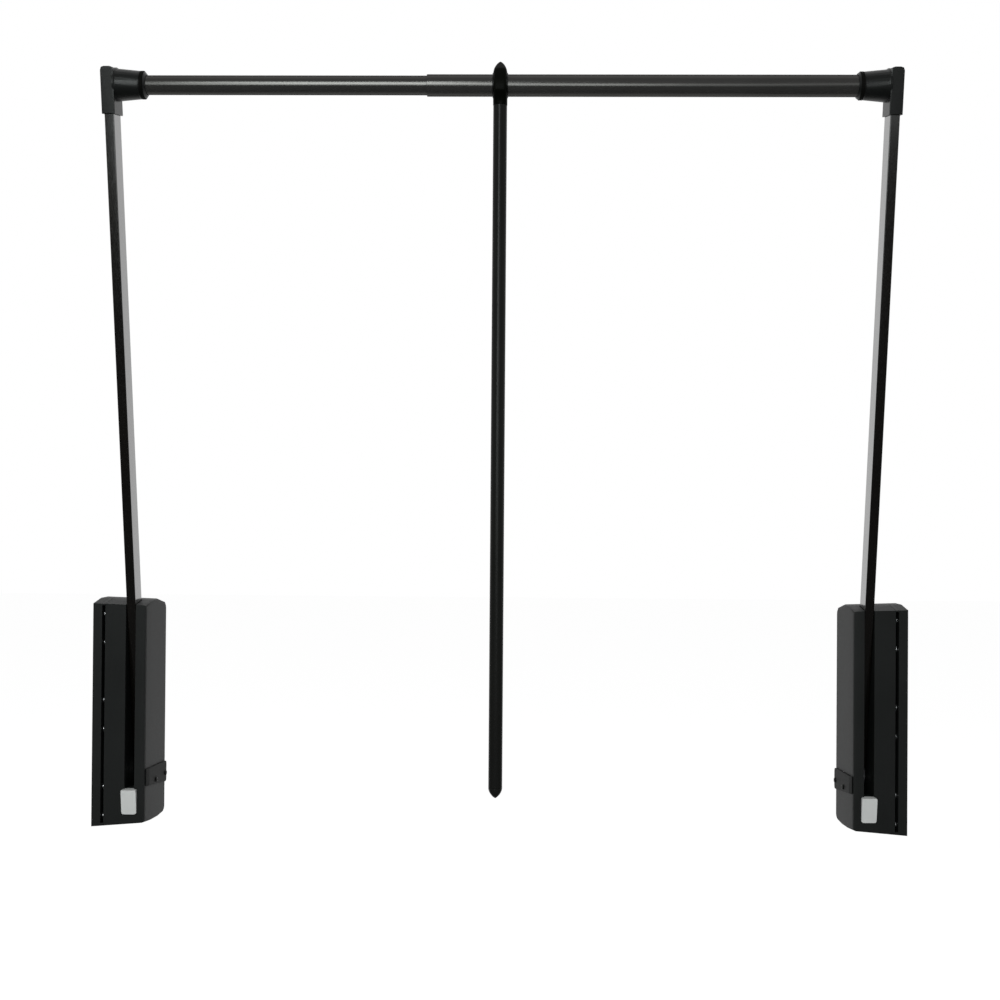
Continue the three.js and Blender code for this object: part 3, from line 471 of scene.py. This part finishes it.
rises = [math.sin(math.pi / 2 * k / SLICES) for k in range(SLICES + 1)]
heights = [HEAD_LOW + (HEAD_TOP - HEAD_LOW) * rise for rise in rises]
heights[0] = HEAD_LOW + LOW_INSET
heights[-1] = HEAD_TOP - TOP_INSET
points = [point for z in heights for point in head_slice(z)]
head = new_piece("handle_head_round", points, skin(SLICES + 1, ROUND), "dark_head", "handle",
                 "black_plastic", ("handle_head",))
cut_out(head, *column(HEAD_BORE, HANDLE_X - BORE_REACH, HANDLE_X + BORE_REACH, ROD))
head.modifiers.clear()
soften(head, HEAD_EDGE, EDGE_SEGMENTS, CARVED_SHARP)

# Lift springs: a smooth round wire, with a closed curl at each end. Distances of the slot from
# the wall and of the spring rod behind the axle, the curls, and the ends with the lower one's lift
SLOT_CENTRE, ROD_LINE = 41.8, 21.259
SPRING_RADIUS, WIRE, CURLS, END_GAP = 10.2, 3.4, 13, 0.6
SPRING_LOW, SPRING_HIGH, LIFT = 38.3, 144.7, 30.56
CURL_STEPS, WIRE_SIDES = 40, 14
SHARE_AHEAD = 0.0005


def spring_point(t):
    """Centre of the wire at a share of its way, on the right side."""
    turns = t * CURLS
    low, high, end_pitch = SPRING_LOW + WIRE / 2, SPRING_HIGH - WIRE / 2, WIRE + END_GAP
    open_pitch = (high - low - 2 * end_pitch) / (CURLS - 2)
    closed = min(turns, 1.0) + max(turns - CURLS + 1, 0.0)
    angle = 2 * math.pi * turns
    return Vector((
        SPRING_RADIUS * math.cos(angle) - SLOT_CENTRE,
        SPRING_RADIUS * math.sin(angle) + ROD_LINE,
        low + closed * end_pitch + (turns - closed) * open_pitch))


def spring(side):
    mirror = side == "left"
    steps = CURLS * CURL_STEPS
    points = []
    for k in range(steps + 1):
        t = k / steps
        here = spring_point(t)
        before, after = max(t - SHARE_AHEAD, 0.0), min(t + SHARE_AHEAD, 1.0)
        ahead = (spring_point(after) - spring_point(before)).normalized()
        out = Vector((here.x + SLOT_CENTRE, here.y - ROD_LINE, 0.0)).normalized()
        rise = ahead.cross(out)
        for i in range(WIRE_SIDES):
            angle = 2 * math.pi * i / WIRE_SIDES
            p = here + (out * math.cos(angle) + rise * math.sin(angle)) * WIRE / 2
            points.append((-WALL_TO_WALL - p.x, p.y, p.z) if mirror else tuple(p))
    faces = skin(steps + 1, WIRE_SIDES)
    if mirror:
        faces = [tuple(reversed(f)) for f in faces]
    obj = new_piece(side + "_lift_spring_wire", points, faces, "spring_steel",
                    side + "_housing", "spring_steel", (side + "_lift_spring",))
    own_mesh(obj)


# Small screws with a cross recess: of the axle plates and of the elbows
SCREW_HEAD, SCREW_HEIGHT, SCREW_SHANK, SCREW_SIDES = 3.0, 1.2, 1.5, 48
SCREW_CROWN, SCREW_EASE, SCREW_EDGE = 0.86, 0.5, 0.06
RECESS_DEEP, RECESS_WIDE, RECESS_LONG, RECESS_ABOVE = 0.8, 0.42, 1.7, 0.5


def small_screw(node, body, inward, look):
    """inward is the direction along X from the head to the shank."""
    low, high = (Vector(c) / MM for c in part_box(node))
    centre = (low + high) / 2
    top, end = (low.x, high.x) if inward > 0 else (high.x, low.x)
    base = top + inward * SCREW_HEIGHT
    outline = rounded([(base, SCREW_HEAD), (top, SCREW_HEAD * SCREW_CROWN), (top, 0.0), (end, 0.0),
                       (end, SCREW_SHANK), (base, SCREW_SHANK)], SCREW_EASE)
    points, faces = turned(outline, "X", centre, SCREW_SIDES)
    obj = new_piece(node + "_recessed", points, faces, look, body, "black_metal", (node,))
    near, far = sorted((top - inward * RECESS_ABOVE, top + inward * RECESS_DEEP))
    for half_y, half_z in ((RECESS_WIDE, RECESS_LONG), (RECESS_LONG, RECESS_WIDE)):
        corner = (near, centre.y - half_y, centre.z - half_z)
        cut_out(obj, *beam(corner, (far, centre.y + half_y, centre.z + half_z)))
    obj.modifiers.clear()
    soften(obj, SCREW_EDGE, 1, CARVED_SHARP)


# Black band in the ring groove of each elbow, up to its chamfer: painted shade, a dark ring filling
# the shallow groove to stand for the shade of a deep gap
BAND_NEAR, BAND_EDGE, BAND_FAR = 73.9, 77.25, 77.95
BAND_RADIUS, BAND_DEEP, BAND_EASE = 14.43, 0.25, 0.08
CHAMFER_DROP = {"right": 0.53, "left": 0.88}


def elbow_shade_band(side):
    rim = BAND_RADIUS - CHAMFER_DROP[side]
    profile = [(BAND_NEAR, BAND_RADIUS), (BAND_EDGE, BAND_RADIUS), (BAND_FAR, rim),
               (BAND_FAR - BAND_DEEP, rim - BAND_DEEP), (BAND_NEAR, BAND_RADIUS - BAND_DEEP)]
    outline = [(-x if side == "right" else x - WALL_TO_WALL, r)
               for x, r in rounded(profile, BAND_EASE)]
    # The dark ring is painted shade, drawn in the black rubber finish
    new_piece(side + "_elbow_shade_band", *turned(outline, "X", ROD), "black_rubber",
              side + "_frame", "black_rubber")


for side, sign in (("right", 1.0), ("left", -1.0)):
    spring(side)
    for number in (1, 2):
        small_screw(side + "_plate_screw_%d" % number, side + "_housing", sign, "dull_metal")
    small_screw(side + "_elbow_screw", side + "_frame", -sign, "black_metal")
    elbow_shade_band(side)


# Camera at the photograph's angle, in metres and radians
FOCAL_PX, IMAGE_PX, SENSOR_MM = 1423.0, 1000.0, 36.0
EYE = Vector((-0.41504, -1.61511, 0.29118))
PITCH, YAW, ROLL = -0.0103, -0.0205, 0.0071
FARTHEST = 50.0

camera_data = bpy.data.cameras.new("camera")
camera_data.sensor_width = SENSOR_MM
camera_data.sensor_fit = "HORIZONTAL"
camera_data.lens = FOCAL_PX / IMAGE_PX * SENSOR_MM
camera_data.clip_end = FARTHEST
camera = bpy.data.objects.new("camera", camera_data)
bpy.context.scene.collection.objects.link(camera)
turn = Matrix.Rotation(YAW, 3, "Z") @ Matrix.Rotation(ROLL, 3, "Y") @ Matrix.Rotation(PITCH, 3, "X")
right, forward, up = (turn.transposed() @ Vector(v) for v in ((1, 0, 0), (0, 1, 0), (0, 0, 1)))
camera.matrix_world = Matrix((
    (right.x, up.x, -forward.x, EYE.x),
    (right.y, up.y, -forward.y, EYE.y),
    (right.z, up.z, -forward.z, EYE.z),
    (0, 0, 0, 1),
))
bpy.context.scene.camera = camera


# Soft windows behind the camera: name, left, right, low, high (metres) and radiance
WINDOWS = (
    ("window_wide", -1.36, -0.5, 0.3, 1.2, 4.8),
    ("window_middle", -1.1, -0.56, 0.65, 1.3, 5.6),
    ("window_high", -1.3, -0.6, 1.2, 1.75, 8.0),
    ("window_low", -0.5, -0.12, 0.1, 0.9, 4.4),
    ("window_right", -0.12, 0.25, 0.0, 0.9, 1.0),
    ("window_far", 0.25, 0.7, 0.45, 1.3, 0.7),
)
WINDOW_Y, WINDOW_STEP = -2.3, 0.02
WINDOW_COLOUR = (0.94, 1.0, 0.985)
# Weak lamps from both sides: name and place
FILLS = (
    ("fill_left", (-2.6, -1.4, 1.2)),
    ("fill_right", (1.7, -1.4, 1.2)),
)
FILL_AIM, FILL_SIZE, FILL_POWER = (-0.45, 0.0, 0.3), (1.2, 1.6), 2.0


def lamp(name, place, aim, size, power, colour=(1.0, 1.0, 1.0)):
    data = bpy.data.lights.new(name, "AREA")
    data.shape = "RECTANGLE"
    data.size, data.size_y = size
    data.energy = power
    data.color = colour
    obj = bpy.data.objects.new(name, data)
    bpy.context.scene.collection.objects.link(obj)
    obj.location = place
    obj.rotation_euler = (Vector(aim) - Vector(place)).to_track_quat("-Z", "Y").to_euler()
    obj.visible_camera = False


# Each window stands a step in front of the one before: lamps in one plane hide each other's glint
for number, (name, left, right, low, high, radiance) in enumerate(WINDOWS):
    depth = WINDOW_Y + WINDOW_STEP * number
    middle, size = ((left + right) / 2, depth, (low + high) / 2), (right - left, high - low)
    power = math.pi * size[0] * size[1] * radiance
    lamp(name, middle, (middle[0], 0.0, middle[2]), size, power, WINDOW_COLOUR)
for name, place in FILLS:
    lamp(name, place, FILL_AIM, FILL_SIZE, FILL_POWER)


def math_node(tree, operation, a, b):
    node = tree.nodes.new("ShaderNodeMath")
    node.operation = operation
    for socket, value in zip(node.inputs, (a, b)):
        if isinstance(value, (int, float)):
            socket.default_value = value
        else:
            tree.links.new(value, socket)
    return node.outputs[0]


def seen(tree):
    """1 for camera, glossy and transmission rays."""
    path = tree.nodes.new("ShaderNodeLightPath")
    total = path.outputs["Is Camera Ray"]
    for other in ("Is Glossy Ray", "Is Transmission Ray"):
        total = math_node(tree, "MAXIMUM", total, path.outputs[other])
    return total


def falloff(tree, coordinate, near, far, share):
    """White for the camera; for reflections white behind and beside the object, dimmer in front."""
    place = tree.nodes.new("ShaderNodeTexCoord")
    split = tree.nodes.new("ShaderNodeSeparateXYZ")
    tree.links.new(place.outputs[coordinate], split.inputs[0])
    ranged = tree.nodes.new("ShaderNodeMapRange")
    ranged.interpolation_type = "SMOOTHSTEP"
    ranged.inputs["From Min"].default_value = near
    ranged.inputs["From Max"].default_value = far
    ranged.inputs["To Min"].default_value = share
    ranged.inputs["To Max"].default_value = 1.0
    tree.links.new(split.outputs["Y"], ranged.inputs["Value"])
    path = tree.nodes.new("ShaderNodeLightPath")
    return math_node(tree, "MAXIMUM", ranged.outputs[0], path.outputs["Is Camera Ray"])


# White surround: what lights the object diffusely, and the share of white that reflections find
# in front, between two values of the direction's Y
AMBIENT = 0.36
FRONT_SHARE, FRONT_NEAR, FRONT_FAR = 0.3, -0.6, 0.2
WHITE = (1.0, 1.0, 1.0, 1.0)

world = bpy.data.worlds.new("studio")
bpy.context.scene.world = world
world.use_nodes = True
tree = world.node_tree
tree.nodes.clear()
world_out = tree.nodes.new("ShaderNodeOutputWorld")
ambient = tree.nodes.new("ShaderNodeBackground")
ambient.inputs["Color"].default_value = WHITE
ambient.inputs["Strength"].default_value = AMBIENT
white = tree.nodes.new("ShaderNodeBackground")
white.inputs["Color"].default_value = WHITE
surround = falloff(tree, "Generated", FRONT_NEAR, FRONT_FAR, FRONT_SHARE)
tree.links.new(surround, white.inputs["Strength"])
blend = tree.nodes.new("ShaderNodeMixShader")
tree.links.new(seen(tree), blend.inputs[0])
tree.links.new(ambient.outputs[0], blend.inputs[1])
tree.links.new(white.outputs[0], blend.inputs[2])
tree.links.new(blend.outputs[0], world_out.inputs[0])

# Pale floor, which keeps the object's shadow: metres, shares of white, and metres along Y
FLOOR_Z, FLOOR_HALF = -0.5, 12.0
FLOOR_GREY, FLOOR_GLOW, FLOOR_ROUGH = 0.85, 0.68, 0.9
FLOOR_SHARE, FLOOR_NEAR, FLOOR_FAR = 0.04, -0.3, 1.2

floor_mesh = bpy.data.meshes.new("floor")
floor_mesh.from_pydata(
    [(-FLOOR_HALF, -FLOOR_HALF, FLOOR_Z), (FLOOR_HALF, -FLOOR_HALF, FLOOR_Z),
     (FLOOR_HALF, FLOOR_HALF, FLOOR_Z), (-FLOOR_HALF, FLOOR_HALF, FLOOR_Z)], [], [(0, 1, 2, 3)])
floor = bpy.data.objects.new("floor", floor_mesh)
bpy.context.scene.collection.objects.link(floor)
floor_material, floor_tree, floor_shader = material("floor")
floor_shader.inputs["Roughness"].default_value = FLOOR_ROUGH
floor_shader.inputs["Specular IOR Level"].default_value = 0.0
floor_shader.inputs["Emission Color"].default_value = WHITE
# For glossy rays the floor's grey and glow are painted darker in front of the object, as painted
# shade in the reflections on the object
path = floor_tree.nodes.new("ShaderNodeLightPath")
depth = falloff(floor_tree, "Object", FLOOR_NEAR, FLOOR_FAR, FLOOR_SHARE)
not_glossy = math_node(floor_tree, "SUBTRACT", 1.0, path.outputs["Is Glossy Ray"])
level = math_node(floor_tree, "MAXIMUM", depth, not_glossy)
grey = floor_tree.nodes.new("ShaderNodeCombineColor")
shade = math_node(floor_tree, "MULTIPLY", level, FLOOR_GREY)
for channel in grey.inputs:
    floor_tree.links.new(shade, channel)
floor_tree.links.new(grey.outputs[0], floor_shader.inputs["Base Color"])
glow = math_node(floor_tree, "MULTIPLY", seen(floor_tree), FLOOR_GLOW)
glow = math_node(floor_tree, "MULTIPLY", glow, level)
floor_tree.links.new(glow, floor_shader.inputs["Emission Strength"])
floor_mesh.materials.append(floor_material)

bpy.context.scene.view_settings.view_transform = "Standard"
